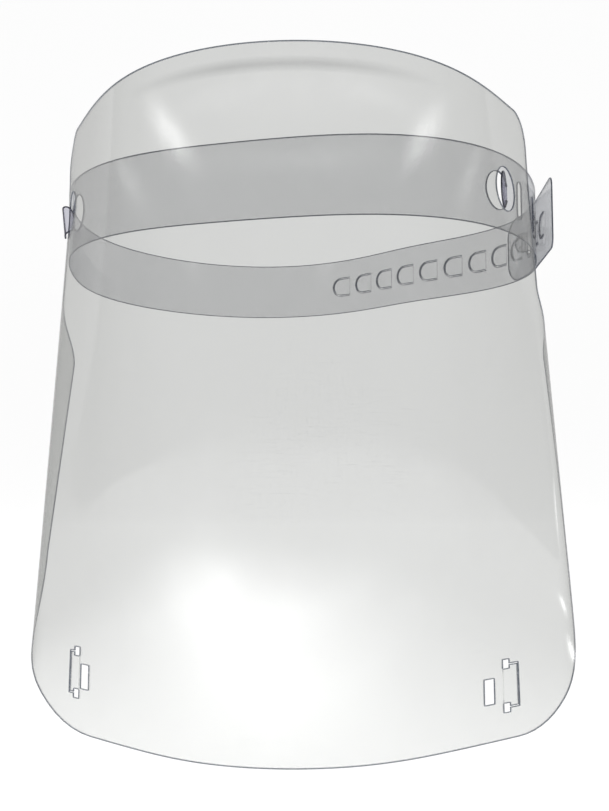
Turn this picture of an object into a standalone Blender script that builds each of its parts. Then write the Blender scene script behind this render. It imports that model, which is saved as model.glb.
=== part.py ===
"""A flat-pack face shield: a clear visor sheet held on a clear headband strip.

Every piece is die-cut flat and then bent, and the script does the same. Each sheet
starts as a flat outline, is scored into narrow strips, and is wrapped on its curve.
X is to the viewer's right, -Y is the way the wearer faces, and Z is up. The origin is
the middle of the headband ring, halfway up the strip. Sizes are in metres.
"""

import math

import bmesh
import bpy
import numpy as np
from mathutils import Matrix, Vector

MM = 0.001

# Sheet stock.
VISOR_THICK = 0.4 * MM
BAND_THICK = 0.5 * MM
CLEARANCE = 0.3 * MM

# Headband ring, seen from above: a mean radius and a few waves round it.
BAND_HEIGHT = 27.0 * MM
RING_RADIUS = 98.6 * MM
RING_WAVES = (
    (2, 3.6 * MM, 8.1 * MM),
    (3, -3.0 * MM, -2.7 * MM),
    (4, 0.1 * MM, 2.1 * MM),
    (5, -2.0 * MM, 0.7 * MM),
)
INNER_END_ANGLE = 102.4
LEAVE_ANGLE = 85.0
TAIL_LENGTH = 42.5 * MM
LAYER_LIFT = BAND_THICK + CLEARANCE
LIFT_START = 200.0
LIFT_SPAN = 110.0
INNER_LAYER_LENGTH = 200.0 * MM
BAND_END_ROUND = 8.0 * MM

# Round tabs that lock the visor to the headband. Each swings out at its crease by one
# angle and curls on by another, so the left one lies back over the visor.
LOCK_ROUND = 12.6 * MM
LOCK_ANGLES = {"left": -55.0, "right": 42.7}
LOCK_OPEN = {"left": 30.0, "right": 20.0}
LOCK_CURL = {"left": 166.0, "right": 0.0}
LOCK_CURL_LENGTH = 7.0 * MM
LOCK_SLANT = {"left": 24.0, "right": 0.0}
LOCK_HINGE_SHARE = 0.46
VISOR_HOLE_ROUND = 15.0 * MM

# Row of C-cut tongues along the rear strap.
TONGUE_COUNT = 12
TONGUE_LENGTH = 9.5 * MM
TONGUE_HEIGHT = 8.4 * MM
TONGUE_PITCH = 14.05 * MM
TONGUE_MARGIN = 19.6 * MM
HOOKED_TONGUE = 10
HOOK_ANGLE = 30.0

# Upright slots in the inner end that a tongue hooks into.
SLOT_COUNT = 4
SLOT_PITCH = 21.9 * MM
SLOT_WIDTH = 4.4 * MM
SLOT_HEIGHT = 13.5 * MM

# Visor sheet, in its flat pattern.
VISOR_TOP = 31.4 * MM
VISOR_BOTTOM = -183.5 * MM
UPPER_HALF_WIDTH = 123.5 * MM
SHOULDER_HALF_WIDTH = 142.0 * MM
LOWER_HALF_WIDTH = 133.0 * MM
SHOULDER_TOP = -30.0 * MM
SHOULDER_BOTTOM = -54.0 * MM
TOP_CORNER_ROUND = 12.0 * MM
BOTTOM_CORNER_ROUND = {"left": 58.5 * MM, "right": 40.0 * MM}

# Visor sheet, as bent: a section starts with a curvature, straightens out to a
# heading, and curls on to a last heading at its side edges. Headings are in radians.
TOP_SECTION = {"curvature": 14.9, "heading": 1.154, "front": -132.9 * MM}
BOTTOM_SECTION = {"curvature": 17.2, "heading": 0.751, "front": -126.2 * MM}
HEADING_POWER = 5.0
EDGE_HEADING = 1.695
CURL_START = 112.0 * MM
CURL_END = 140.0 * MM
VISOR_SHIFT = 5.8 * MM
VISOR_TURN = -2.0
PATTERN_SHIFT = -5.0 * MM

# The visor can't pass through the headband: it is held off it by this much.
VISOR_REST = 0.9 * MM
REST_REACH = 16.0 * MM
REST_FADE = 30.0 * MM
REST_SOFTNESS = 0.5 * MM

# Square tabs and slots in the visor's bottom corners.
CORNER_TAB_REACH = {"left": 88.2 * MM, "right": 93.6 * MM}
CORNER_TAB_LENGTH = {"left": 5.4 * MM, "right": 7.3 * MM}
CORNER_TAB_MIDDLE = {"left": -163.6 * MM, "right": -166.5 * MM}
CORNER_TAB_HEIGHT = 13.4 * MM
CORNER_EAR_WIDTH = 2.9 * MM
CORNER_EAR_DEPTH = 1.1 * MM
CORNER_EAR_RISE = 1.7 * MM
CORNER_SLOT_REACH = 81.4 * MM
CORNER_SLOT_DROP = 1.0 * MM
CORNER_SLOT = (4.8 * MM, 7.9 * MM)

# How finely the flat sheets are scored before they are bent.
SCORE_STEP = 3.6 * MM
SCORE_OFFSET = 0.13 * MM
SCORE_ROWS = 23.0 * MM
CURL_STEP = 0.8 * MM
ARC_STEPS = 8

# How finely the plan curves are drawn and searched.
RING_STEPS = 1400
TAIL_STEPS = 60
SECTION_STEPS = 500
CURL_STEPS = 300
SECTION_REACH = 1.1 * SHOULDER_HALF_WIDTH
SEARCH_STEPS = 989

# Mesh handling, and how the clear sheets look.
WELD_DISTANCE = 0.001 * MM
FLAT_ANGLE = 0.5
SHARP_ANGLE = 35.0
PUNCH_DEPTH = 4.0
SHEET_ALPHA = 0.4


class Path:
    """A plan curve that can be read at any distance along it."""

    def __init__(self, points, start=0.0):
        steps = np.hypot(*np.diff(points, axis=0).T)
        self.points = points
        self.distance = start + np.concatenate([[0.0], np.cumsum(steps)])
        self.slope = np.gradient(points, self.distance, axis=0)

    def at(self, distance):
        x = np.interp(distance, self.distance, self.points[:, 0])
        y = np.interp(distance, self.distance, self.points[:, 1])
        return np.array([x, y])

    def along(self, distance):
        x = np.interp(distance, self.distance, self.slope[:, 0])
        y = np.interp(distance, self.distance, self.slope[:, 1])
        return np.array([x, y]) / math.hypot(x, y)

    def nearest(self, place):
        away = np.hypot(*(self.points - place).T)
        return self.distance[away.argmin()]


def smooth_step(value):
    value = np.clip(value, 0.0, 1.0)
    return value * value * (3.0 - 2.0 * value)


def ring_radius(angle):
    radius = RING_RADIUS
    for order, cosine, sine in RING_WAVES:
        radius = radius + cosine * np.cos(order * angle) + sine * np.sin(order * angle)
    return radius


def band_path():
    """The strip's middle line, from its inner end round the head to its tail's tip."""
    full = 360.0 + INNER_END_ANGLE - LEAVE_ANGLE
    travelled = np.linspace(0.0, full, RING_STEPS)
    angle = np.radians(INNER_END_ANGLE - travelled)
    lift = LAYER_LIFT * smooth_step((travelled - LIFT_START) / LIFT_SPAN)
    radius = ring_radius(angle) + lift
    ring = np.column_stack([radius * np.sin(angle), -radius * np.cos(angle)])
    leaving = ring[-1] - ring[-2]
    leaving = leaving / np.hypot(*leaving)
    tail_steps = np.linspace(0.0, TAIL_LENGTH, TAIL_STEPS)[1:, None]
    return Path(np.vstack([ring, ring[-1] + leaving * tail_steps]))


def visor_section(shape):
    """Half a section by its heading, mirrored: arc length is 0 at the nose line."""
    distance = np.linspace(0.0, SECTION_REACH, SECTION_STEPS)
    turn = shape["curvature"] * distance
    ratio = (turn / shape["heading"]) ** HEADING_POWER
    heading = turn / (1.0 + ratio) ** (1.0 / HEADING_POWER)
    curl = smooth_step((distance - CURL_START) / (CURL_END - CURL_START))
    heading = heading + (EDGE_HEADING - shape["heading"]) * curl
    step = distance[1]
    x = np.concatenate([[0.0], np.cumsum(np.cos(heading[:-1]) * step)])
    y = np.concatenate([[0.0], np.cumsum(np.sin(heading[:-1]) * step)])
    half = np.column_stack([x, y])
    whole = np.vstack([half[:0:-1] * (-1.0, 1.0), half])
    whole[:, 1] += shape["front"]
    turn_by = math.radians(VISOR_TURN)
    spin = np.array(
        [[math.cos(turn_by), math.sin(turn_by)], [-math.sin(turn_by), math.cos(turn_by)]]
    )
    return Path(whole @ spin + (VISOR_SHIFT, 0.0), start=-distance[-1])


BAND = band_path()
VISOR_TOP_PATH = visor_section(TOP_SECTION)
VISOR_BOTTOM_PATH = visor_section(BOTTOM_SECTION)


def bend_band(along, height, out):
    """A point of the flat strip, moved to its place on the bent headband."""
    x, y = BAND.at(along)
    dx, dy = BAND.along(along)
    return Vector((x - dy * out, y + dx * out, height))


def rested(place, height):
    """Moves a point of the visor out, where it would otherwise enter the headband."""
    angle = math.atan2(place.x, -place.y)
    radius = place.xy.length
    short = float(ring_radius(angle)) + VISOR_REST - radius
    push = 0.5 * (short + math.hypot(short, REST_SOFTNESS))
    push *= 1.0 - smooth_step((abs(height) - REST_REACH) / REST_FADE)
    return place + Vector((place.x, place.y, 0.0)) * (push / radius)


def bend_visor(along, height, out):
    """A point of the flat visor, moved to its place on the bent visor."""
    share = (VISOR_TOP - height) / (VISOR_TOP - VISOR_BOTTOM)
    top = VISOR_TOP_PATH.at(along)
    low = VISOR_BOTTOM_PATH.at(along)
    x, y = top * (1.0 - share) + low * share
    slope = VISOR_TOP_PATH.along(along) * (1.0 - share)
    slope = slope + VISOR_BOTTOM_PATH.along(along) * share
    run = Vector((slope[0], slope[1], 0.0)).normalized()
    drop = Vector((*(low - top), VISOR_BOTTOM - VISOR_TOP)).normalized()
    outward = drop.cross(run).normalized()
    return rested(Vector((x, y, height)), height) + outward * out


def arc(centre, radius, start, end, steps=ARC_STEPS):
    """Points round an arc, by angles in degrees."""
    points = []
    for angle in np.linspace(math.radians(start), math.radians(end), steps + 1):
        points.append(
            (centre[0] + radius * math.cos(angle), centre[1] + radius * math.sin(angle))
        )
    return points


def round_outline(centre, radius):
    return arc(centre, radius, 0.0, 360.0, 4 * ARC_STEPS)[:-1]


def slot_outline(centre, width, height):
    """An upright slot with round ends."""
    reach = 0.5 * (height - width)
    top = arc((centre[0], centre[1] + reach), 0.5 * width, 0.0, 180.0)
    low = arc((centre[0], centre[1] - reach), 0.5 * width, 180.0, 360.0)
    return top + low


def box_outline(low, high):
    return [low, (high[0], low[1]), high, (low[0], high[1])]


def tongue_outline(tip, grow=0.0):
    """A C-cut tongue: its round tip comes first along the strip, its hinge last."""
    radius = 0.5 * TONGUE_HEIGHT + grow
    hinge = tip + TONGUE_LENGTH + grow
    curve = arc((tip + 0.5 * TONGUE_HEIGHT, 0.0), radius, 90.0, 270.0)
    return curve + [(hinge, -radius), (hinge, radius)]


def corner_point(side, x, y):
    """A point beside a corner tab's middle, x measured out from the nose line."""
    outward = -1.0 if side == "left" else 1.0
    return (PATTERN_SHIFT + outward * x, CORNER_TAB_MIDDLE[side] + y)


def corner_hinge(side):
    return CORNER_TAB_REACH[side] - CORNER_TAB_LENGTH[side]


def mirrored_outline(side, half):
    """A closed outline from its upper half, which is the same below the middle."""
    whole = half + [(x, -y) for x, y in reversed(half)]
    return [corner_point(side, x, y) for x, y in whole]


def corner_tab_outline(side):
    """A bottom corner's tab: its hinge is on the side nearer the nose, between ears."""
    reach = 0.5 * CORNER_TAB_HEIGHT
    hinge = corner_hinge(side)
    ear = hinge + CORNER_EAR_WIDTH
    waist = reach - CORNER_EAR_DEPTH
    outer = CORNER_TAB_REACH[side]
    half = [(outer, reach), (ear, reach), (ear, waist), (hinge, waist)]
    return mirrored_outline(side, half)


def corner_cut_outline(side):
    """The hole round a corner tab, with a square ear past each end of its hinge."""
    reach = 0.5 * CORNER_TAB_HEIGHT
    hinge = corner_hinge(side) - CLEARANCE
    ear = corner_hinge(side) + CORNER_EAR_WIDTH
    outer = CORNER_TAB_REACH[side] + CLEARANCE
    slit = reach + CLEARANCE
    top = reach + CORNER_EAR_RISE
    half = [(outer, slit), (ear, slit), (ear, top), (hinge, top)]
    return mirrored_outline(side, half)


def corner_slot_outline(side):
    width, height = CORNER_SLOT
    reach = 0.5 * height
    inner = CORNER_SLOT_REACH - width
    low = corner_point(side, inner, -CORNER_SLOT_DROP - reach)
    high = corner_point(side, CORNER_SLOT_REACH, reach - CORNER_SLOT_DROP)
    return box_outline(low, high)


def band_outline():
    """The strip: one well rounded inner end and a tail with eased corners."""
    half = 0.5 * BAND_HEIGHT
    inner = BAND_END_ROUND
    tail = 0.5 * BAND_END_ROUND
    end = BAND.distance[-1]
    points = arc((inner, half - inner), inner, 90.0, 180.0)
    points += arc((inner, inner - half), inner, 180.0, 270.0)
    points += arc((end - tail, tail - half), tail, 270.0, 360.0)
    points += arc((end - tail, half - tail), tail, 0.0, 90.0)
    return points


def visor_side(low):
    """One side of the visor, going up: its bottom corner, a soft step, its top corner."""
    top = TOP_CORNER_ROUND
    side = arc((LOWER_HALF_WIDTH - low, VISOR_BOTTOM + low), low, 270.0, 360.0)
    step = UPPER_HALF_WIDTH - SHOULDER_HALF_WIDTH
    rise = SHOULDER_TOP - SHOULDER_BOTTOM
    for share in np.linspace(0.0, 1.0, ARC_STEPS + 1):
        x = SHOULDER_HALF_WIDTH + step * smooth_step(share)
        side.append((x, SHOULDER_BOTTOM + rise * share))
    return side + arc((UPPER_HALF_WIDTH - top, VISOR_TOP - top), top, 0.0, 90.0)


def visor_outline():
    right = visor_side(BOTTOM_CORNER_ROUND["right"])
    left = visor_side(BOTTOM_CORNER_ROUND["left"])
    points = [(PATTERN_SHIFT + x, y) for x, y in right]
    return points + [(PATTERN_SHIFT - x, y) for x, y in reversed(left)]


def flat_plate(name, outlines, thickness):
    """A flat plate, or several apart, from closed outlines."""
    curve = bpy.data.curves.new(name, "CURVE")
    curve.dimensions = "2D"
    curve.fill_mode = "BOTH"
    curve.extrude = 0.5 * thickness
    for outline in outlines:
        spline = curve.splines.new("POLY")
        spline.points.add(len(outline) - 1)
        for point, (x, y) in zip(spline.points, outline):
            point.co = (x, y, 0.0, 1.0)
        spline.use_cyclic_u = True
    source = bpy.data.objects.new(name + "_outline", curve)
    bpy.context.scene.collection.objects.link(source)
    bpy.context.view_layer.update()
    graph = bpy.context.evaluated_depsgraph_get()
    mesh = bpy.data.meshes.new_from_object(source.evaluated_get(graph))
    bpy.data.objects.remove(source)
    bpy.data.curves.remove(curve)
    shape = bmesh.new()
    shape.from_mesh(mesh)
    bmesh.ops.remove_doubles(shape, verts=shape.verts, dist=WELD_DISTANCE)
    bmesh.ops.dissolve_limit(
        shape, angle_limit=math.radians(FLAT_ANGLE), verts=shape.verts, edges=shape.edges
    )
    bmesh.ops.recalc_face_normals(shape, faces=shape.faces)
    bpy.data.meshes.remove(mesh)
    return shape


def score(shape, axis, step):
    """Cuts a flat plate into strips, square to one of its axes."""
    places = [vert.co[axis] for vert in shape.verts]
    first = math.ceil(min(places) / step)
    last = math.floor(max(places) / step)
    normal = Vector((0.0, 0.0, 0.0))
    normal[axis] = 1.0
    for index in range(first, last + 1):
        everything = shape.verts[:] + shape.edges[:] + shape.faces[:]
        bmesh.ops.bisect_plane(
            shape,
            geom=everything,
            dist=0.1 * WELD_DISTANCE,
            plane_co=normal * (index * step + SCORE_OFFSET),
            plane_no=normal,
        )


def as_object(name, shape):
    mesh = bpy.data.meshes.new(name)
    shape.to_mesh(mesh)
    shape.free()
    made = bpy.data.objects.new(name, mesh)
    bpy.context.scene.collection.objects.link(made)
    return made


def with_holes(plate, holes, thickness):
    """Cuts outlines out of a scored plate and gives back the cut plate's mesh."""
    punch = as_object("punch", flat_plate("punch", holes, PUNCH_DEPTH * thickness))
    sheet = as_object("sheet", plate)
    cut = sheet.modifiers.new("holes", "BOOLEAN")
    cut.operation = "DIFFERENCE"
    cut.solver = "EXACT"
    cut.object = punch
    bpy.context.view_layer.update()
    graph = bpy.context.evaluated_depsgraph_get()
    mesh = bpy.data.meshes.new_from_object(sheet.evaluated_get(graph))
    bpy.data.objects.remove(sheet)
    bpy.data.objects.remove(punch)
    cut_plate = bmesh.new()
    cut_plate.from_mesh(mesh)
    bpy.data.meshes.remove(mesh)
    return cut_plate


def bent_sheet(name, rim, thickness, bend, holes=(), rows=0.0, step=SCORE_STEP):
    """A plate that is cut flat, scored and then bent by a function of its own."""
    shape = flat_plate(name, [rim], thickness)
    score(shape, 0, step)
    if rows:
        score(shape, 1, rows)
    if holes:
        shape = with_holes(shape, holes, thickness)
    bmesh.ops.triangulate(shape, faces=shape.faces)
    for vert in shape.verts:
        vert.co = bend(*vert.co)
    if shape.calc_volume(signed=True) < 0.0:
        bmesh.ops.reverse_faces(shape, faces=shape.faces)
    mesh = bpy.data.meshes.new(name)
    shape.to_mesh(mesh)
    shape.free()
    return mesh


def sheet_material(name, color, roughness):
    material = bpy.data.materials.new(name)
    material.use_nodes = True
    surface = material.node_tree.nodes["Principled BSDF"]
    surface.inputs["Base Color"].default_value = (*color, 1.0)
    surface.inputs["Roughness"].default_value = roughness
    surface.inputs["Metallic"].default_value = 0.0
    surface.inputs["Alpha"].default_value = SHEET_ALPHA
    return material


def add_part(collection, mesh, material, pivot=None):
    """Puts a mesh in the scene, with its origin on its hinge where it has one."""
    if pivot is not None:
        mesh.transform(Matrix.Translation(-pivot))
    mesh.materials.append(material)
    mesh.shade_smooth()
    mesh.set_sharp_from_angle(angle=math.radians(SHARP_ANGLE))
    part = bpy.data.objects.new(mesh.name, mesh)
    part.location = pivot if pivot is not None else (0.0, 0.0, 0.0)
    collection.objects.link(part)
    return part


def tongue_tip(index):
    """How far along the strip a tongue's free end is; the first is nearest the nape."""
    from_tail = TONGUE_MARGIN + (TONGUE_COUNT - index) * TONGUE_PITCH
    return BAND.distance[-1] - from_tail - TONGUE_LENGTH


def slot_place(index):
    """How far along the strip a slot is: the first is under the hooked tongue."""
    hinge = bend_band(tongue_tip(HOOKED_TONGUE) + TONGUE_LENGTH, 0.0, 0.0)
    inner_layer = BAND.points[BAND.distance < INNER_LAYER_LENGTH]
    away = np.hypot(*(inner_layer - np.array(hinge.xy)).T)
    below = BAND.distance[away.argmin()]
    return below - 0.5 * SLOT_WIDTH + CLEARANCE + index * SLOT_PITCH


def lock_place(side):
    """How far along the strip the middle of a lock tab is."""
    angle = math.radians(LOCK_ANGLES[side])
    radius = ring_radius(angle)
    return BAND.nearest(np.array([radius * math.sin(angle), -radius * math.cos(angle)]))


def lock_crease(side):
    """A lock tab's crease on the flat strip: its middle, and the ways across and up it.

    The crease is on the side of the tab towards the ear.
    """
    toward_ear = 1.0 if side == "left" else -1.0
    slant = math.radians(LOCK_SLANT[side])
    across = np.array([-toward_ear * math.cos(slant), math.sin(slant)])
    up = np.array([toward_ear * math.sin(slant), math.cos(slant)])
    middle = np.array([lock_place(side), 0.0])
    return middle - across * LOCK_HINGE_SHARE * LOCK_ROUND, across, up


def lock_disc(grow=0.0):
    """A round tab by itself, cut off straight at its crease, where x is 0."""
    reach = LOCK_HINGE_SHARE * LOCK_ROUND
    radius = 0.5 * LOCK_ROUND + grow
    opening = math.degrees(math.acos((reach + grow) / radius))
    return arc((reach, 0.0), radius, opening - 180.0, 180.0 - opening, 3 * ARC_STEPS)


def lock_outline(side, grow=0.0):
    """A round tab's outline on the flat strip."""
    crease, across, up = lock_crease(side)
    return [tuple(crease + across * x + up * y) for x, y in lock_disc(grow)]


def curl_path(side):
    """A lock tab seen edge-on: it leaves its crease at an angle and curls on."""
    distance = np.linspace(-CLEARANCE, LOCK_ROUND, CURL_STEPS)
    curl = smooth_step(distance / LOCK_CURL_LENGTH)
    heading = np.radians(LOCK_OPEN[side] + LOCK_CURL[side] * curl)
    heading = np.where(distance < 0.0, 0.0, heading)
    step = distance[1] - distance[0]
    x = np.concatenate([[0.0], np.cumsum(np.cos(heading[:-1]) * step)])
    y = np.concatenate([[0.0], np.cumsum(np.sin(heading[:-1]) * step)])
    return Path(np.column_stack([x - CLEARANCE, y]), start=-CLEARANCE)


def lock_bend(side):
    """The bend of a lock tab, and the middle of its crease."""
    crease, across, up = lock_crease(side)
    pivot = bend_band(*crease, 0.0)
    along = Vector((*BAND.along(crease[0]), 0.0))
    outward = bend_band(*crease, 1.0) - pivot
    run = along * across[0] + Vector((0.0, 0.0, across[1]))
    axis = along * up[0] + Vector((0.0, 0.0, up[1]))
    path = curl_path(side)

    def place(x, y, out):
        reach, rise = path.at(x)
        ahead, climb = path.along(x)
        normal = outward * ahead - run * climb
        return pivot + run * reach + outward * rise + axis * y + normal * out

    return place, pivot


def make_headband(collection, material):
    holes = [lock_outline(side, CLEARANCE) for side in LOCK_ANGLES]
    for index in range(1, TONGUE_COUNT + 1):
        holes.append(tongue_outline(tongue_tip(index), CLEARANCE))
    for index in range(SLOT_COUNT):
        holes.append(slot_outline((slot_place(index), 0.0), SLOT_WIDTH, SLOT_HEIGHT))
    mesh = bent_sheet("headband", band_outline(), BAND_THICK, bend_band, holes)
    add_part(collection, mesh, material)


def visor_facing(side):
    """Where along the visor's middle height a lock tab pushes through it."""
    tab = bend_band(lock_place(side), 0.0, 0.0)
    along = np.linspace(-UPPER_HALF_WIDTH, UPPER_HALF_WIDTH, SEARCH_STEPS)
    places = np.array([bend_visor(place, 0.0, 0.0).xy for place in along])
    away = np.hypot(*(places - np.array(tab.xy)).T)
    return along[away.argmin()]


def make_visor(collection, material):
    holes = []
    for side in LOCK_ANGLES:
        holes.append(round_outline((visor_facing(side), 0.0), 0.5 * VISOR_HOLE_ROUND))
        holes.append(corner_cut_outline(side))
        holes.append(corner_slot_outline(side))
    rim = visor_outline()
    mesh = bent_sheet("visor", rim, VISOR_THICK, bend_visor, holes, SCORE_ROWS)
    add_part(collection, mesh, material)


def turned(bend, along, hinge, angle):
    """A bend that also swings a tab about its upright hinge line, by degrees."""
    pivot = bend(hinge, 0.0, 0.0)
    step = bend(hinge + math.copysign(1.0 * MM, along - hinge), 0.0, 0.0) - pivot
    out = bend(hinge, 0.0, 1.0 * MM) - pivot
    run = Vector((step.x, step.y, 0.0)).normalized()
    outward = Vector((out.x, out.y, 0.0)).normalized()
    sense = 1.0 if run.cross(outward).z > 0.0 else -1.0
    swing = Matrix.Rotation(math.radians(angle) * sense, 4, "Z")

    def place(position, height, thickness):
        return pivot + swing @ (bend(position, height, thickness) - pivot)

    return place, pivot


def make_lock_tab(collection, material, side):
    place, pivot = lock_bend(side)
    name = f"lock_tab_{side}"
    mesh = bent_sheet(name, lock_disc(), BAND_THICK, place, step=CURL_STEP)
    add_part(collection, mesh, material, pivot)


def make_tongue(collection, material, index):
    tip = tongue_tip(index)
    hinge = tip + TONGUE_LENGTH
    angle = -HOOK_ANGLE if index == HOOKED_TONGUE else 0.0
    place, pivot = turned(bend_band, tip, hinge, angle)
    name = f"size_tongue_{index:02d}"
    mesh = bent_sheet(name, tongue_outline(tip), BAND_THICK, place)
    add_part(collection, mesh, material, pivot)


def make_corner_tab(collection, material, side):
    hinge = corner_point(side, corner_hinge(side), 0.0)
    pivot = bend_visor(*hinge, 0.0)
    outline = corner_tab_outline(side)
    mesh = bent_sheet(f"corner_tab_{side}", outline, VISOR_THICK, bend_visor)
    add_part(collection, mesh, material, pivot)


def clear_scene():
    for old in list(bpy.data.objects):
        bpy.data.objects.remove(old, do_unlink=True)


def build():
    clear_scene()
    collection = bpy.data.collections.new("face_shield")
    bpy.context.scene.collection.children.link(collection)
    visor_clear = sheet_material("visor_clear", (0.80, 0.81, 0.80), 0.06)
    band_clear = sheet_material("band_clear", (0.68, 0.69, 0.70), 0.10)
    tab_clear = sheet_material("tab_clear", (0.60, 0.60, 0.66), 0.12)
    make_visor(collection, visor_clear)
    make_headband(collection, band_clear)
    for side in LOCK_ANGLES:
        make_lock_tab(collection, tab_clear, side)
        make_corner_tab(collection, visor_clear, side)
    for index in range(1, TONGUE_COUNT + 1):
        make_tongue(collection, tab_clear, index)


build()
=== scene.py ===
"""The finished look of the face shield: two clear die-cut sheets, bent and locked.

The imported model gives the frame. Each sheet is cut and bent again here, by the same
geometry but in finer steps, and gets clear plastic with worked cut edges. X is to the
viewer's right, -Y is the way the wearer faces, and Z is up. Sizes are in metres.
"""

import math

import bmesh
import bpy
import numpy as np
from mathutils import Matrix, Vector


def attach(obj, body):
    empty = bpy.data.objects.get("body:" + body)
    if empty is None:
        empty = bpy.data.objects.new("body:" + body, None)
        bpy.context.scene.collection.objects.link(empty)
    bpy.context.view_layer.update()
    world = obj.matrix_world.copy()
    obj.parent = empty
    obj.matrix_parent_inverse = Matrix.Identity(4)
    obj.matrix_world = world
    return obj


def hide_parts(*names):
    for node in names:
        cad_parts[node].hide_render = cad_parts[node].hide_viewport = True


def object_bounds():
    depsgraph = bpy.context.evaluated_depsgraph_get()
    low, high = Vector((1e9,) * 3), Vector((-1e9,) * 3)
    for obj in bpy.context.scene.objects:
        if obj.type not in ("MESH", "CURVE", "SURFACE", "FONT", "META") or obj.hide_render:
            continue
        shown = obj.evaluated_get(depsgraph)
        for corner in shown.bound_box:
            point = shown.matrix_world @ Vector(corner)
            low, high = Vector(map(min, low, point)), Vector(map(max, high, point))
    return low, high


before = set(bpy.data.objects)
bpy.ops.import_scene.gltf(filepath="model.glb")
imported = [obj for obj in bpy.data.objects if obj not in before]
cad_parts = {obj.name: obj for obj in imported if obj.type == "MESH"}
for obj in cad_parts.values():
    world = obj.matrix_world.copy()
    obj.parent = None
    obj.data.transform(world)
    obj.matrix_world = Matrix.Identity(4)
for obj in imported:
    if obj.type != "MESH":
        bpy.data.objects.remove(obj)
CAD_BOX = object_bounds()

MM = 0.001

# Sheet stock.
VISOR_THICK = 0.4 * MM
BAND_THICK = 0.5 * MM
CLEARANCE = 0.3 * MM

# Headband ring, seen from above: a mean radius and a few waves round it.
BAND_HEIGHT = 27.0 * MM
RING_RADIUS = 98.6 * MM
RING_WAVES = (
    (2, 3.6 * MM, 8.1 * MM),
    (3, -3.0 * MM, -2.7 * MM),
    (4, 0.1 * MM, 2.1 * MM),
    (5, -2.0 * MM, 0.7 * MM),
)
INNER_END_ANGLE = 102.4
LEAVE_ANGLE = 85.0
TAIL_LENGTH = 42.5 * MM
LAYER_LIFT = BAND_THICK + CLEARANCE
LIFT_START = 200.0
LIFT_SPAN = 110.0
INNER_LAYER_LENGTH = 200.0 * MM
BAND_END_ROUND = 8.0 * MM

# Round tabs that lock the visor to the headband. Each swings out at its crease by one
# angle and curls on by another, so the left one lies back over the visor.
LOCK_ROUND = 12.6 * MM
LOCK_ANGLES = {"left": -55.0, "right": 42.7}
LOCK_OPEN = {"left": 30.0, "right": 20.0}
LOCK_CURL = {"left": 166.0, "right": 0.0}
LOCK_CURL_LENGTH = 7.0 * MM
LOCK_SLANT = {"left": 24.0, "right": 0.0}
LOCK_HINGE_SHARE = 0.46
VISOR_HOLE_ROUND = 15.0 * MM

# Row of C-cut tongues along the rear strap.
TONGUE_COUNT = 12
TONGUE_LENGTH = 9.5 * MM
TONGUE_HEIGHT = 8.4 * MM
TONGUE_PITCH = 14.05 * MM
TONGUE_MARGIN = 19.6 * MM
HOOKED_TONGUE = 10
HOOK_ANGLE = 30.0

# Upright slots in the inner end that a tongue hooks into.
SLOT_COUNT = 4
SLOT_PITCH = 21.9 * MM
SLOT_WIDTH = 4.4 * MM
SLOT_HEIGHT = 13.5 * MM

# Visor sheet, in its flat pattern.
VISOR_TOP = 31.4 * MM
VISOR_BOTTOM = -183.5 * MM
UPPER_HALF_WIDTH = 123.5 * MM
SHOULDER_HALF_WIDTH = 142.0 * MM
LOWER_HALF_WIDTH = 133.0 * MM
SHOULDER_TOP = -30.0 * MM
SHOULDER_BOTTOM = -54.0 * MM
TOP_CORNER_ROUND = 12.0 * MM
BOTTOM_CORNER_ROUND = {"left": 58.5 * MM, "right": 40.0 * MM}

# Visor sheet, as bent: a section starts with a curvature, straightens out to a
# heading, and curls on to a last heading at its side edges. Headings are in radians.
TOP_SECTION = {"curvature": 14.9, "heading": 1.154, "front": -132.9 * MM}
BOTTOM_SECTION = {"curvature": 17.2, "heading": 0.751, "front": -126.2 * MM}
HEADING_POWER = 5.0
EDGE_HEADING = 1.695
CURL_START = 112.0 * MM
CURL_END = 140.0 * MM
VISOR_SHIFT = 5.8 * MM
VISOR_TURN = -2.0
PATTERN_SHIFT = -5.0 * MM

# The visor can't pass through the headband: it is held off it by this much.
VISOR_REST = 0.9 * MM
REST_REACH = 16.0 * MM
REST_FADE = 30.0 * MM
REST_SOFTNESS = 0.5 * MM

# Square tabs and slots in the visor's bottom corners.
CORNER_TAB_REACH = {"left": 88.2 * MM, "right": 93.6 * MM}
CORNER_TAB_LENGTH = {"left": 5.4 * MM, "right": 7.3 * MM}
CORNER_TAB_MIDDLE = {"left": -163.6 * MM, "right": -166.5 * MM}
CORNER_TAB_HEIGHT = 13.4 * MM
CORNER_EAR_WIDTH = 2.9 * MM
CORNER_EAR_DEPTH = 1.1 * MM
CORNER_EAR_RISE = 1.7 * MM
CORNER_SLOT_REACH = 81.4 * MM
CORNER_SLOT_DROP = 1.0 * MM
CORNER_SLOT = (4.8 * MM, 7.9 * MM)

# How finely the flat sheets are scored before they are bent.
SCORE_OFFSET = 0.13 * MM
ARC_STEPS = 16

# How finely the plan curves are drawn and searched.
RING_STEPS = 1400
TAIL_STEPS = 60
SECTION_STEPS = 500
CURL_STEPS = 300
SECTION_REACH = 1.1 * SHOULDER_HALF_WIDTH
SEARCH_STEPS = 989

# Mesh handling.
WELD_DISTANCE = 0.001 * MM
FLAT_ANGLE = 0.5
SHARP_ANGLE = 35.0
PUNCH_DEPTH = 4.0

# Finer steps for the finished surfaces, and the worked edge along every cut.
FINE_STEP = 1.2 * MM
CURL_STEP = 0.4 * MM
FINE_ROWS = 9.0 * MM
EDGE_STEP = 1.2 * MM
EDGE_WIDTH = 0.3 * MM
EDGE_PROUD = 0.02 * MM

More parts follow.
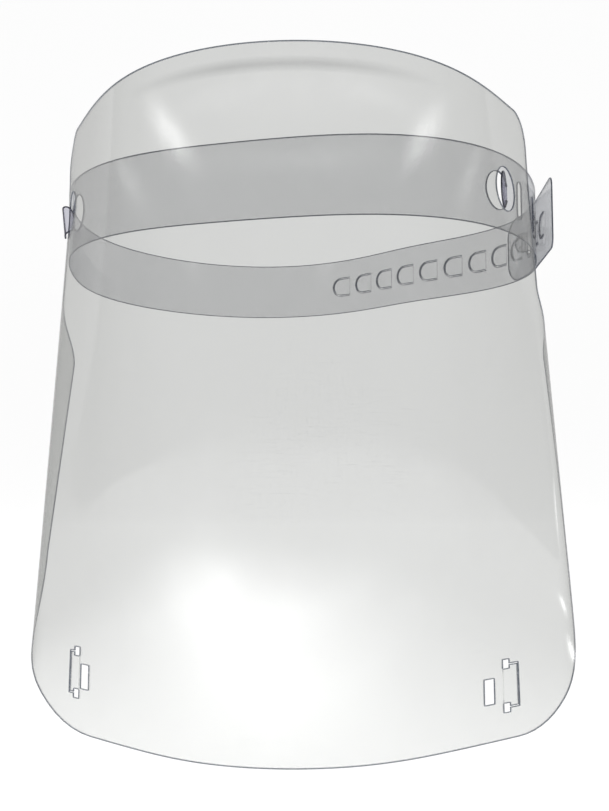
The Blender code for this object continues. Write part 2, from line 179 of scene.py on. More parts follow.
# Clear plastic: how much it mirrors, how fast it deepens at a slant, and how it waves.
FACE_ON_MIRROR = 0.045
EDGE_ON_MIRROR = 0.5
MIRROR_POWER = 5.0
SLANT_POWER = 3.5
WAVE_SCALE = 22.0
WAVE_STRENGTH = 0.25
WAVE_DEPTH = 0.6 * MM

# Wear on it: smudges, scratches and dust. A scale is in features to the metre.
SMUDGE_SCALE = 26.0
SMUDGE_ROUGHNESS = 0.12
SCRATCH_SCALES = (90.0, 70.0)
SCRATCH_WIDTH = 0.006
SCRATCH_PATCH_SCALE = 18.0
DUST_SCALE = 170.0
DUST_PATCH_SCALE = 60.0
WEAR_SHARE = 0.07
WEAR_TINT = (0.9, 0.9, 0.91)
WEAR_ROUGHNESS = 0.45

# Painted shade: a soft dark line laid across the visor's forehead, full near the middle and
# gone towards the sides.
PAINTED_SHADE_LINE_HEIGHT = 24.4 * MM
PAINTED_SHADE_LINE_CORE = 0.3 * MM
PAINTED_SHADE_LINE_FADE = 2.6 * MM
PAINTED_SHADE_LINE_FULL_TO = 15.0 * MM
PAINTED_SHADE_LINE_GONE_AT = 50.0 * MM
PAINTED_SHADE_LINE_SHARE = 0.2
PAINTED_SHADE_TINT = (0.3, 0.3, 0.3)

# The die-cut edges.
EDGE_GRAIN_SCALE = 420.0
EDGE_THROUGH_TINT = (0.85, 0.87, 0.9)
EDGE_VARIATION = 0.1

# The studio: paper that stays white, a darker room above it, and soft cards.
PAPER_GLOW = 0.9
PAPER_SHADE = 0.13
ROOM_DARK = 0.3
ROOM_BRIGHT = 1.0
ROOM_TURN = (0.1, 0.9)
CARD_DISTANCE = 1.2
CARD_STEPS = 12
FLOOR_GAP = 0.5 * MM
GLOW_GAP = 1.0 * MM

# The white sweep, in metres: a level floor, a quarter round and a wall.
SWEEP_FRONT = -4.0
SWEEP_BACK = 2.0
SWEEP_ROUND = 1.0
SWEEP_WALL = 5.0
SWEEP_HALF_WIDTH = 5.0
SWEEP_STEPS = 16

# The camera stands in front of the visor, low, and looks slightly up.
CAMERA_PLACE = (0.01438, -0.44423, -0.10228)
CAMERA_YAW = 1.246
CAMERA_PITCH = 4.417
CAMERA_ROLL = -0.267
CAMERA_LENS = 47.63


class Path:
    """A plan curve that can be read at any distance along it."""

    def __init__(self, points, start=0.0):
        steps = np.hypot(*np.diff(points, axis=0).T)
        self.points = points
        self.distance = start + np.concatenate([[0.0], np.cumsum(steps)])
        self.slope = np.gradient(points, self.distance, axis=0)

    def at(self, distance):
        x = np.interp(distance, self.distance, self.points[:, 0])
        y = np.interp(distance, self.distance, self.points[:, 1])
        return np.array([x, y])

    def along(self, distance):
        x = np.interp(distance, self.distance, self.slope[:, 0])
        y = np.interp(distance, self.distance, self.slope[:, 1])
        return np.array([x, y]) / math.hypot(x, y)

    def nearest(self, place):
        away = np.hypot(*(self.points - place).T)
        return self.distance[away.argmin()]


def smooth_step(value):
    value = np.clip(value, 0.0, 1.0)
    return value * value * (3.0 - 2.0 * value)


def ring_radius(angle):
    radius = RING_RADIUS
    for order, cosine, sine in RING_WAVES:
        radius = radius + cosine * np.cos(order * angle) + sine * np.sin(order * angle)
    return radius


def band_path():
    """The strip's middle line, from its inner end round the head to its tail's tip."""
    full = 360.0 + INNER_END_ANGLE - LEAVE_ANGLE
    travelled = np.linspace(0.0, full, RING_STEPS)
    angle = np.radians(INNER_END_ANGLE - travelled)
    lift = LAYER_LIFT * smooth_step((travelled - LIFT_START) / LIFT_SPAN)
    radius = ring_radius(angle) + lift
    ring = np.column_stack([radius * np.sin(angle), -radius * np.cos(angle)])
    leaving = ring[-1] - ring[-2]
    leaving = leaving / np.hypot(*leaving)
    tail_steps = np.linspace(0.0, TAIL_LENGTH, TAIL_STEPS)[1:, None]
    return Path(np.vstack([ring, ring[-1] + leaving * tail_steps]))


def visor_section(shape):
    """Half a section by its heading, mirrored: arc length is 0 at the nose line."""
    distance = np.linspace(0.0, SECTION_REACH, SECTION_STEPS)
    turn = shape["curvature"] * distance
    ratio = (turn / shape["heading"]) ** HEADING_POWER
    heading = turn / (1.0 + ratio) ** (1.0 / HEADING_POWER)
    curl = smooth_step((distance - CURL_START) / (CURL_END - CURL_START))
    heading = heading + (EDGE_HEADING - shape["heading"]) * curl
    step = distance[1]
    x = np.concatenate([[0.0], np.cumsum(np.cos(heading[:-1]) * step)])
    y = np.concatenate([[0.0], np.cumsum(np.sin(heading[:-1]) * step)])
    half = np.column_stack([x, y])
    whole = np.vstack([half[:0:-1] * (-1.0, 1.0), half])
    whole[:, 1] += shape["front"]
    turn_by = math.radians(VISOR_TURN)
    spin = np.array(
        [[math.cos(turn_by), math.sin(turn_by)], [-math.sin(turn_by), math.cos(turn_by)]]
    )
    return Path(whole @ spin + (VISOR_SHIFT, 0.0), start=-distance[-1])


BAND = band_path()
VISOR_TOP_PATH = visor_section(TOP_SECTION)
VISOR_BOTTOM_PATH = visor_section(BOTTOM_SECTION)


def bend_band(along, height, out):
    """A point of the flat strip, moved to its place on the bent headband."""
    x, y = BAND.at(along)
    dx, dy = BAND.along(along)
    return Vector((x - dy * out, y + dx * out, height))


def rested(place, height):
    """Moves a point of the visor out, where it would otherwise enter the headband."""
    angle = math.atan2(place.x, -place.y)
    radius = place.xy.length
    short = float(ring_radius(angle)) + VISOR_REST - radius
    push = 0.5 * (short + math.hypot(short, REST_SOFTNESS))
    push *= 1.0 - smooth_step((abs(height) - REST_REACH) / REST_FADE)
    return place + Vector((place.x, place.y, 0.0)) * (push / radius)


def bend_visor(along, height, out):
    """A point of the flat visor, moved to its place on the bent visor."""
    share = (VISOR_TOP - height) / (VISOR_TOP - VISOR_BOTTOM)
    top = VISOR_TOP_PATH.at(along)
    low = VISOR_BOTTOM_PATH.at(along)
    x, y = top * (1.0 - share) + low * share
    slope = VISOR_TOP_PATH.along(along) * (1.0 - share)
    slope = slope + VISOR_BOTTOM_PATH.along(along) * share
    run = Vector((slope[0], slope[1], 0.0)).normalized()
    drop = Vector((*(low - top), VISOR_BOTTOM - VISOR_TOP)).normalized()
    outward = drop.cross(run).normalized()
    return rested(Vector((x, y, height)), height) + outward * out


def arc(centre, radius, start, end, steps=ARC_STEPS):
    """Points round an arc, by angles in degrees."""
    points = []
    for angle in np.linspace(math.radians(start), math.radians(end), steps + 1):
        points.append(
            (centre[0] + radius * math.cos(angle), centre[1] + radius * math.sin(angle))
        )
    return points


def round_outline(centre, radius):
    return arc(centre, radius, 0.0, 360.0, 4 * ARC_STEPS)[:-1]


def slot_outline(centre, width, height):
    """An upright slot with round ends."""
    reach = 0.5 * (height - width)
    top = arc((centre[0], centre[1] + reach), 0.5 * width, 0.0, 180.0)
    low = arc((centre[0], centre[1] - reach), 0.5 * width, 180.0, 360.0)
    return top + low


def box_outline(low, high):
    return [low, (high[0], low[1]), high, (low[0], high[1])]


def tongue_outline(tip, grow=0.0):
    """A C-cut tongue: its round tip comes first along the strip, its hinge last."""
    radius = 0.5 * TONGUE_HEIGHT + grow
    hinge = tip + TONGUE_LENGTH + grow
    curve = arc((tip + 0.5 * TONGUE_HEIGHT, 0.0), radius, 90.0, 270.0)
    return curve + [(hinge, -radius), (hinge, radius)]


def corner_point(side, x, y):
    """A point beside a corner tab's middle, x measured out from the nose line."""
    outward = -1.0 if side == "left" else 1.0
    return (PATTERN_SHIFT + outward * x, CORNER_TAB_MIDDLE[side] + y)


def corner_hinge(side):
    return CORNER_TAB_REACH[side] - CORNER_TAB_LENGTH[side]


def mirrored_outline(side, half):
    """A closed outline from its upper half, which is the same below the middle."""
    whole = half + [(x, -y) for x, y in reversed(half)]
    return [corner_point(side, x, y) for x, y in whole]


def corner_tab_outline(side):
    """A bottom corner's tab: its hinge is on the side nearer the nose, between ears."""
    reach = 0.5 * CORNER_TAB_HEIGHT
    hinge = corner_hinge(side)
    ear = hinge + CORNER_EAR_WIDTH
    waist = reach - CORNER_EAR_DEPTH
    outer = CORNER_TAB_REACH[side]
    half = [(outer, reach), (ear, reach), (ear, waist), (hinge, waist)]
    return mirrored_outline(side, half)


def corner_cut_outline(side):
    """The hole round a corner tab, with a square ear past each end of its hinge."""
    reach = 0.5 * CORNER_TAB_HEIGHT
    hinge = corner_hinge(side) - CLEARANCE
    ear = corner_hinge(side) + CORNER_EAR_WIDTH
    outer = CORNER_TAB_REACH[side] + CLEARANCE
    slit = reach + CLEARANCE
    top = reach + CORNER_EAR_RISE
    half = [(outer, slit), (ear, slit), (ear, top), (hinge, top)]
    return mirrored_outline(side, half)


def corner_slot_outline(side):
    width, height = CORNER_SLOT
    reach = 0.5 * height
    inner = CORNER_SLOT_REACH - width
    low = corner_point(side, inner, -CORNER_SLOT_DROP - reach)
    high = corner_point(side, CORNER_SLOT_REACH, reach - CORNER_SLOT_DROP)
    return box_outline(low, high)


def band_outline():
    """The strip: one well rounded inner end and a tail with eased corners."""
    half = 0.5 * BAND_HEIGHT
    inner = BAND_END_ROUND
    tail = 0.5 * BAND_END_ROUND
    end = BAND.distance[-1]
    points = arc((inner, half - inner), inner, 90.0, 180.0)
    points += arc((inner, inner - half), inner, 180.0, 270.0)
    points += arc((end - tail, tail - half), tail, 270.0, 360.0)
    points += arc((end - tail, half - tail), tail, 0.0, 90.0)
    return points


def visor_side(low):
    """One side of the visor, going up: its bottom corner, a soft step, its top corner."""
    top = TOP_CORNER_ROUND
    side = arc((LOWER_HALF_WIDTH - low, VISOR_BOTTOM + low), low, 270.0, 360.0)
    step = UPPER_HALF_WIDTH - SHOULDER_HALF_WIDTH
    rise = SHOULDER_TOP - SHOULDER_BOTTOM
    for share in np.linspace(0.0, 1.0, ARC_STEPS + 1):
        x = SHOULDER_HALF_WIDTH + step * smooth_step(share)
        side.append((x, SHOULDER_BOTTOM + rise * share))
    return side + arc((UPPER_HALF_WIDTH - top, VISOR_TOP - top), top, 0.0, 90.0)


def visor_outline():
    right = visor_side(BOTTOM_CORNER_ROUND["right"])
    left = visor_side(BOTTOM_CORNER_ROUND["left"])
    points = [(PATTERN_SHIFT + x, y) for x, y in right]
    return points + [(PATTERN_SHIFT - x, y) for x, y in reversed(left)]


def flat_plate(name, outlines, thickness):
    """A flat plate, or several apart, from closed outlines."""
    curve = bpy.data.curves.new(name, "CURVE")
    curve.dimensions = "2D"
    curve.fill_mode = "BOTH"
    curve.extrude = 0.5 * thickness
    for outline in outlines:
        spline = curve.splines.new("POLY")
        spline.points.add(len(outline) - 1)
        for point, (x, y) in zip(spline.points, outline):
            point.co = (x, y, 0.0, 1.0)
        spline.use_cyclic_u = True
    source = bpy.data.objects.new(name + "_outline", curve)
    bpy.context.scene.collection.objects.link(source)
    bpy.context.view_layer.update()
    graph = bpy.context.evaluated_depsgraph_get()
    mesh = bpy.data.meshes.new_from_object(source.evaluated_get(graph))
    bpy.data.objects.remove(source)
    bpy.data.curves.remove(curve)
    shape = bmesh.new()
    shape.from_mesh(mesh)
    bmesh.ops.remove_doubles(shape, verts=shape.verts, dist=WELD_DISTANCE)
    bmesh.ops.dissolve_limit(
        shape, angle_limit=math.radians(FLAT_ANGLE), verts=shape.verts, edges=shape.edges
    )
    bmesh.ops.recalc_face_normals(shape, faces=shape.faces)
    bpy.data.meshes.remove(mesh)
    return shape


def score(shape, axis, step):
    """Cuts a flat plate into strips, square to one of its axes."""
    places = [vert.co[axis] for vert in shape.verts]
    first = math.ceil(min(places) / step)
    last = math.floor(max(places) / step)
    normal = Vector((0.0, 0.0, 0.0))
    normal[axis] = 1.0
    for index in range(first, last + 1):
        everything = shape.verts[:] + shape.edges[:] + shape.faces[:]
        bmesh.ops.bisect_plane(
            shape,
            geom=everything,
            dist=0.1 * WELD_DISTANCE,
            plane_co=normal * (index * step + SCORE_OFFSET),
            plane_no=normal,
        )


def as_object(name, shape):
    mesh = bpy.data.meshes.new(name)
    shape.to_mesh(mesh)
    shape.free()
    made = bpy.data.objects.new(name, mesh)
    bpy.context.scene.collection.objects.link(made)
    return made


def with_holes(plate, holes, thickness):
    """Cuts outlines out of a scored plate and gives back the cut plate's mesh."""
    punch = as_object("punch", flat_plate("punch", holes, PUNCH_DEPTH * thickness))
    sheet = as_object("sheet", plate)
    cut = sheet.modifiers.new("holes", "BOOLEAN")
    cut.operation = "DIFFERENCE"
    cut.solver = "EXACT"
    cut.object = punch
    bpy.context.view_layer.update()
    graph = bpy.context.evaluated_depsgraph_get()
    mesh = bpy.data.meshes.new_from_object(sheet.evaluated_get(graph))
    bpy.data.objects.remove(sheet)
    bpy.data.objects.remove(punch)
    cut_plate = bmesh.new()
    cut_plate.from_mesh(mesh)
    bpy.data.meshes.remove(mesh)
    return cut_plate


def tongue_tip(index):
    """How far along the strip a tongue's free end is; the first is nearest the nape."""
    from_tail = TONGUE_MARGIN + (TONGUE_COUNT - index) * TONGUE_PITCH
    return BAND.distance[-1] - from_tail - TONGUE_LENGTH


def slot_place(index):
    """How far along the strip a slot is: the first is under the hooked tongue."""
    hinge = bend_band(tongue_tip(HOOKED_TONGUE) + TONGUE_LENGTH, 0.0, 0.0)
    inner_layer = BAND.points[BAND.distance < INNER_LAYER_LENGTH]
    away = np.hypot(*(inner_layer - np.array(hinge.xy)).T)
    below = BAND.distance[away.argmin()]
    return below - 0.5 * SLOT_WIDTH + CLEARANCE + index * SLOT_PITCH


def lock_place(side):
    """How far along the strip the middle of a lock tab is."""
    angle = math.radians(LOCK_ANGLES[side])
    radius = ring_radius(angle)
    return BAND.nearest(np.array([radius * math.sin(angle), -radius * math.cos(angle)]))


def lock_crease(side):
    """A lock tab's crease on the flat strip: its middle, and the ways across and up it.

    The crease is on the side of the tab towards the ear.
    """
    toward_ear = 1.0 if side == "left" else -1.0
    slant = math.radians(LOCK_SLANT[side])
    across = np.array([-toward_ear * math.cos(slant), math.sin(slant)])
    up = np.array([toward_ear * math.sin(slant), math.cos(slant)])
    middle = np.array([lock_place(side), 0.0])
    return middle - across * LOCK_HINGE_SHARE * LOCK_ROUND, across, up


def lock_disc(grow=0.0):
    """A round tab by itself, cut off straight at its crease, where x is 0."""
    reach = LOCK_HINGE_SHARE * LOCK_ROUND
    radius = 0.5 * LOCK_ROUND + grow
    opening = math.degrees(math.acos((reach + grow) / radius))
    return arc((reach, 0.0), radius, opening - 180.0, 180.0 - opening, 3 * ARC_STEPS)


def lock_outline(side, grow=0.0):
    """A round tab's outline on the flat strip."""
    crease, across, up = lock_crease(side)
    return [tuple(crease + across * x + up * y) for x, y in lock_disc(grow)]


def curl_path(side):
    """A lock tab seen edge-on: it leaves its crease at an angle and curls on."""
    distance = np.linspace(-CLEARANCE, LOCK_ROUND, CURL_STEPS)
    curl = smooth_step(distance / LOCK_CURL_LENGTH)
    heading = np.radians(LOCK_OPEN[side] + LOCK_CURL[side] * curl)
    heading = np.where(distance < 0.0, 0.0, heading)
    step = distance[1] - distance[0]
    x = np.concatenate([[0.0], np.cumsum(np.cos(heading[:-1]) * step)])
    y = np.concatenate([[0.0], np.cumsum(np.sin(heading[:-1]) * step)])
    return Path(np.column_stack([x - CLEARANCE, y]), start=-CLEARANCE)


def lock_bend(side):
    """The bend of a lock tab, which starts at its crease."""
    crease, across, up = lock_crease(side)
    pivot = bend_band(*crease, 0.0)
    along = Vector((*BAND.along(crease[0]), 0.0))
    outward = bend_band(*crease, 1.0) - pivot
    run = along * across[0] + Vector((0.0, 0.0, across[1]))
    axis = along * up[0] + Vector((0.0, 0.0, up[1]))
    path = curl_path(side)

    def place(x, y, out):
        reach, rise = path.at(x)
        ahead, climb = path.along(x)
        normal = outward * ahead - run * climb
        return pivot + run * reach + outward * rise + axis * y + normal * out

    return place


def visor_facing(side):
    """Where along the visor's middle height a lock tab pushes through it."""
    tab = bend_band(lock_place(side), 0.0, 0.0)
    along = np.linspace(-UPPER_HALF_WIDTH, UPPER_HALF_WIDTH, SEARCH_STEPS)
    places = np.array([bend_visor(place, 0.0, 0.0).xy for place in along])
    away = np.hypot(*(places - np.array(tab.xy)).T)
    return along[away.argmin()]


def turned(bend, along, hinge, angle):
    """A bend that also swings a tab about its upright hinge line, by degrees."""
    pivot = bend(hinge, 0.0, 0.0)
    step = bend(hinge + math.copysign(1.0 * MM, along - hinge), 0.0, 0.0) - pivot
    out = bend(hinge, 0.0, 1.0 * MM) - pivot
    run = Vector((step.x, step.y, 0.0)).normalized()
    outward = Vector((out.x, out.y, 0.0)).normalized()
    sense = 1.0 if run.cross(outward).z > 0.0 else -1.0
    swing = Matrix.Rotation(math.radians(angle) * sense, 4, "Z")

    def place(position, height, thickness):
        return pivot + swing @ (bend(position, height, thickness) - pivot)

    return place


def densified(points, closed, step):
    """The same outline with extra points, so that it follows a bend."""
    ends = points[1:] + points[:1] if closed else points[1:]
    dense = []
    for start, end in zip(points, ends):
        count = max(1, math.ceil(math.dist(start, end) / step))
        for index in range(count):
            share = index / count
            dense.append(
                (
                    start[0] + (end[0] - start[0]) * share,
                    start[1] + (end[1] - start[1]) * share,
                )
            )
    if not closed:
        dense.append(points[-1])
    return dense


def outline_area(points):
    total = 0.0
    for (x0, y0), (x1, y1) in zip(points, points[1:] + points[:1]):
        total += x0 * y1 - x1 * y0
    return 0.5 * total


def cut_edge_band(shape, outline, closed, inside, width, thickness, bend):
    """A darker border along a cut, laid just proud of both faces of the sheet."""
    turn = 1.0 if outline_area(outline) > 0.0 else -1.0
    turn = turn if inside else -turn
    dense = densified(outline, closed, EDGE_STEP)
    count = len(dense)
    half = 0.5 * thickness + EDGE_PROUD
    rings = []
    for index, (x, y) in enumerate(dense):
        before = dense[index - 1] if closed or index else dense[index]
        after = dense[(index + 1) % count] if closed or index < count - 1 else dense[index]
        run = Vector((after[0] - before[0], after[1] - before[1])).normalized()
        inward = Vector((-run.y, run.x)) * turn * width
        corners = (
            (x, y, half),
            (x + inward.x, y + inward.y, half),
            (x + inward.x, y + inward.y, -half),
            (x, y, -half),
        )
        rings.append([shape.verts.new(bend(*corner)) for corner in corners])
    for index in range(count if closed else count - 1):
        near = rings[index]
        far = rings[(index + 1) % count]
        for side in range(4):
            other = (side + 1) % 4
            face = shape.faces.new((near[side], near[other], far[other], far[side]))
            face.material_index = 1


def on_hinge(face, hinges):
    """True for a side face that lies on an uncut hinge line of the flat sheet."""
    place = face.calc_center_median().xy
    for start, end in hinges:
        run = Vector(end) - Vector(start)
        share = (place - Vector(start)).dot(run) / run.length_squared
        beside = place - Vector(start) - run * share
        if 0.0 < share < 1.0 and beside.length < 0.1 * CLEARANCE:
            return True
    return False


def fine_sheet(
    name, rim, thickness, bend, holes=(), rows=0.0, cuts=(), hinges=(), step=FINE_STEP
):
    """A sheet cut flat, scored finely and bent, with a border along each of its cuts."""
    shape = flat_plate(name, [rim], thickness)
    score(shape, 0, step)
    if rows:
        score(shape, 1, rows)
    if holes:
        shape = with_holes(shape, holes, thickness)
    bmesh.ops.triangulate(shape, faces=shape.faces)
    shape.normal_update()
    for face in shape.faces:
        is_edge = abs(face.normal.z) < 0.5 and not on_hinge(face, hinges)
        face.material_index = 1 if is_edge else 0
    for vert in shape.verts:
        vert.co = bend(*vert.co)
    if shape.calc_volume(signed=True) < 0.0:
        bmesh.ops.reverse_faces(shape, faces=shape.faces)
    for outline, closed, inside in cuts:
        cut_edge_band(shape, outline, closed, inside, EDGE_WIDTH, thickness, bend)
    mesh = bpy.data.meshes.new(name)
    shape.to_mesh(mesh)
    shape.free()
    return mesh


def math_node(tree, operation, first, second=None):
    node = tree.nodes.new("ShaderNodeMath")
    node.operation = operation
    for socket, value in zip(node.inputs, (first, second)):
        if isinstance(value, (int, float)):
            socket.default_value = value
        elif value is not None:
            tree.links.new(value, socket)
    return node.outputs[0]


def noise(tree, place, scale, detail, stretch=(1.0, 1.0, 1.0)):
    """Noise in the sheet's own space, stretched along an axis where it is asked to be."""
    mapping = tree.nodes.new("ShaderNodeMapping")
    mapping.inputs["Scale"].default_value = stretch
    tree.links.new(place, mapping.inputs["Vector"])
    node = tree.nodes.new("ShaderNodeTexNoise")
    node.inputs["Scale"].default_value = scale
    node.inputs["Detail"].default_value = detail
    tree.links.new(mapping.outputs[0], node.inputs["Vector"])
    return node.outputs["Fac"]


def between(tree, value, low, high, start=0.0, end=1.0):
    node = tree.nodes.new("ShaderNodeMapRange")
    node.inputs["From Min"].default_value = low
    node.inputs["From Max"].default_value = high
    node.inputs["To Min"].default_value = start
    node.inputs["To Max"].default_value = end
    tree.links.new(value, node.inputs["Value"])
    return node.outputs[0]


def mixed(tree, share, first, second):
    node = tree.nodes.new("ShaderNodeMixShader")
    tree.links.new(share, node.inputs[0])
    tree.links.new(first, node.inputs[1])
    tree.links.new(second, node.inputs[2])
    return node.outputs[0]


def slant_of(tree, normal):
    """How slantwise a sheet is seen: 0 face on and 1 edge on."""
    weight = tree.nodes.new("ShaderNodeLayerWeight")
    weight.inputs["Blend"].default_value = 0.5
    tree.links.new(normal, weight.inputs["Normal"])
    return weight.outputs["Facing"]


def mirror_share(tree, slant):
    """How much a clear sheet mirrors: a little face on and far more edge on."""
    grazing = math_node(tree, "POWER", slant, MIRROR_POWER)
    return between(tree, grazing, 0.0, 1.0, FACE_ON_MIRROR, EDGE_ON_MIRROR)


def see_through(tree, color):
    """A shader that lets light straight through, tinted."""
    shader = tree.nodes.new("ShaderNodeBsdfTransparent")
    shader.inputs["Color"].default_value = (*color, 1.0)
    return shader.outputs[0]


def painted_shade_line(tree, place):
    """Painted shade: a soft dark line across the forehead, full near the middle and gone
    towards the sides.
    """
    split = tree.nodes.new("ShaderNodeSeparateXYZ")
    tree.links.new(place, split.inputs[0])
    above = math_node(tree, "SUBTRACT", split.outputs["Z"], PAINTED_SHADE_LINE_HEIGHT)
    away = math_node(tree, "ABSOLUTE", above)
    line = between(tree, away, PAINTED_SHADE_LINE_CORE, PAINTED_SHADE_LINE_FADE, 1.0, 0.0)
    aside = math_node(tree, "ABSOLUTE", split.outputs["X"])
    ends = between(tree, aside, PAINTED_SHADE_LINE_FULL_TO, PAINTED_SHADE_LINE_GONE_AT, 1.0, 0.0)
    painted_shade_mask = math_node(tree, "MULTIPLY", line, ends)
    return math_node(tree, "MULTIPLY", painted_shade_mask, PAINTED_SHADE_LINE_SHARE)


def scratches(tree, place):
    """Fine hairlines from handling: thin bands of stretched noise, in two directions."""
    first = noise(tree, place, SCRATCH_SCALES[0], 3.0, (9.0, 9.0, 0.45))
    second = noise(tree, place, SCRATCH_SCALES[1], 3.0, (0.5, 0.5, 8.0))
    lines = []
    for value in (first, second):
        away = math_node(tree, "ABSOLUTE", math_node(tree, "SUBTRACT", value, 0.5))
        lines.append(between(tree, away, 0.0, SCRATCH_WIDTH, 1.0, 0.0))
    both = math_node(tree, "MAXIMUM", lines[0], lines[1])
    patches = between(tree, noise(tree, place, SCRATCH_PATCH_SCALE, 1.0), 0.5, 0.68)
    return math_node(tree, "MULTIPLY", both, patches)


def dust(tree, place):
    """Small round specks, in patches."""
    cells = tree.nodes.new("ShaderNodeTexVoronoi")
    cells.inputs["Scale"].default_value = DUST_SCALE
    tree.links.new(place, cells.inputs["Vector"])
    specks = between(tree, cells.outputs["Distance"], 0.03, 0.06, 1.0, 0.0)
    few = between(tree, noise(tree, place, DUST_PATCH_SCALE, 0.0), 0.56, 0.62)
    return math_node(tree, "MULTIPLY", specks, few)


def clear_plastic(name, tint, slant_tint, haze, roughness, with_painted_shade=False):
    """Thin clear sheet: it passes tinted light, mirrors by angle, and carries fine wear; it
    can also carry a painted shade line.
    """
    material = bpy.data.materials.new(name)
    material.use_nodes = True
    tree = material.node_tree
    body = tree.nodes["Principled BSDF"]
    output = tree.nodes["Material Output"]
    place = tree.nodes.new("ShaderNodeTexCoord").outputs["Object"]
    waves = tree.nodes.new("ShaderNodeBump")
    waves.inputs["Strength"].default_value = WAVE_STRENGTH
    waves.inputs["Distance"].default_value = WAVE_DEPTH
    tree.links.new(noise(tree, place, WAVE_SCALE, 1.0), waves.inputs["Height"])
    smudge = between(tree, noise(tree, place, SMUDGE_SCALE, 5.0), 0.45, 0.75)
    wear = math_node(tree, "MAXIMUM", scratches(tree, place), dust(tree, place))
    slant = slant_of(tree, waves.outputs[0])
    deeper = math_node(tree, "POWER", slant, SLANT_POWER)
    through = mixed(tree, deeper, see_through(tree, tint), see_through(tree, slant_tint))
    # Painted shade: the dark forehead line tints what the sheet lets through.
    if with_painted_shade:
        through = mixed(tree, painted_shade_line(tree, place), through, see_through(tree, PAINTED_SHADE_TINT))
    gloss = tree.nodes.new("ShaderNodeBsdfGlossy")
    gloss.inputs["Color"].default_value = (1.0, 1.0, 1.0, 1.0)
    rough = between(tree, smudge, 0.0, 1.0, roughness, roughness + SMUDGE_ROUGHNESS)
    tree.links.new(rough, gloss.inputs["Roughness"])
    tree.links.new(waves.outputs[0], gloss.inputs["Normal"])
    clear = mixed(tree, mirror_share(tree, slant), through, gloss.outputs[0])
    body.inputs["Base Color"].default_value = (*WEAR_TINT, 1.0)
    body.inputs["Roughness"].default_value = WEAR_ROUGHNESS
    tree.links.new(waves.outputs[0], body.inputs["Normal"])
    film = math_node(tree, "MULTIPLY", smudge, haze)
    marks = math_node(tree, "MULTIPLY", wear, WEAR_SHARE)
    solid = math_node(tree, "ADD", math_node(tree, "ADD", film, marks), 0.5 * haze)
    tree.links.new(mixed(tree, solid, clear, body.outputs[0]), output.inputs["Surface"])
    return material


def cut_edge(name, color, passes):
    """A die-cut edge: dull, darker and bluish, with small variations along the cut."""
    material = bpy.data.materials.new(name)
    material.use_nodes = True
    tree = material.node_tree
    body = tree.nodes["Principled BSDF"]
    output = tree.nodes["Material Output"]
    place = tree.nodes.new("ShaderNodeTexCoord").outputs["Object"]
    body.inputs["Base Color"].default_value = (*color, 1.0)
    ragged = noise(tree, place, EDGE_GRAIN_SCALE, 3.0)
    tree.links.new(between(tree, ragged, 0.3, 0.7, 0.22, 0.5), body.inputs["Roughness"])
    through = see_through(tree, EDGE_THROUGH_TINT)
    least = 1.0 - passes - EDGE_VARIATION
    most = 1.0 - passes + EDGE_VARIATION
    solid = between(tree, ragged, 0.3, 0.7, least, most)
    tree.links.new(mixed(tree, solid, through, body.outputs[0]), output.inputs["Surface"])
    return material


def add_piece(name, mesh, looks, body, node):
    """Puts a finished sheet in the scene in place of its CAD node."""
    for look in looks:
        mesh.materials.append(look)
    mesh.shade_smooth()
    mesh.set_sharp_from_angle(angle=math.radians(SHARP_ANGLE))
    piece = bpy.data.objects.new(name, mesh)
    bpy.context.scene.collection.objects.link(piece)
    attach(piece, body)
    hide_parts(node)


def opened(outline):
    """A tongue's cut, from one end of its hinge round to the other."""
    return outline[-1:] + outline[:-1]


def hinge_line(cut):
    """The uncut line that closes an open cut."""
    return (cut[0], cut[-1])


def reaching(cut, gap):
    """A tab's outline, drawn out at its hinge so that it meets the sheet round it."""
    start, end = Vector(cut[0]), Vector(cut[-1])
    run = (end - start).normalized()
    away = Vector((run.y, -run.x)) * gap
    middle = sum((Vector(point) for point in cut), Vector((0.0, 0.0))) / len(cut)
    if away.dot(middle - start) > 0.0:
        away = -away
    return list(cut) + [tuple(end + away), tuple(start + away)]


def corner_cut(side):
    """The cut round a corner tab, from one end of its hinge round to the other."""
    outline = corner_cut_outline(side)
    half = len(outline) // 2
    waist = 0.5 * CORNER_TAB_HEIGHT - CORNER_EAR_DEPTH
    hinge = corner_hinge(side) - CLEARANCE
    start = corner_point(side, hinge, -waist)
    end = corner_point(side, hinge, waist)
    return [start] + outline[half:] + outline[:half] + [end]


def finish_headband(looks):
    holes = []
    cuts = [(band_outline(), True, True)]
    hinges = []
    for side in LOCK_ANGLES:
        outline = lock_outline(side, CLEARANCE)
        holes.append(outline)
        cuts.append((outline, False, False))
        hinges.append(hinge_line(outline))
    for index in range(1, TONGUE_COUNT + 1):
        outline = tongue_outline(tongue_tip(index), CLEARANCE)
        holes.append(outline)
        cuts.append((opened(outline), False, False))
        hinges.append(hinge_line(opened(outline)))
    for index in range(SLOT_COUNT):
        outline = slot_outline((slot_place(index), 0.0), SLOT_WIDTH, SLOT_HEIGHT)
        holes.append(outline)
        cuts.append((outline, True, False))
    name = "headband_strip"
    rim = band_outline()
    mesh = fine_sheet(name, rim, BAND_THICK, bend_band, holes, FINE_ROWS, cuts, hinges)
    add_piece(name, mesh, looks, "root", "headband")


def finish_visor(looks):
    holes = []
    cuts = [(visor_outline(), True, True)]
    hinges = []
    for side in LOCK_ANGLES:
        lock_hole = round_outline((visor_facing(side), 0.0), 0.5 * VISOR_HOLE_ROUND)
        slot = corner_slot_outline(side)
        holes += [lock_hole, slot, corner_cut_outline(side)]
        cuts += [(lock_hole, True, False), (slot, True, False)]
        cuts.append((corner_cut(side), False, False))
        hinges.append(hinge_line(corner_cut(side)))
    name = "visor_sheet"
    rim = visor_outline()
    mesh = fine_sheet(name, rim, VISOR_THICK, bend_visor, holes, FINE_ROWS, cuts, hinges)
    add_piece(name, mesh, looks, "root", "visor")


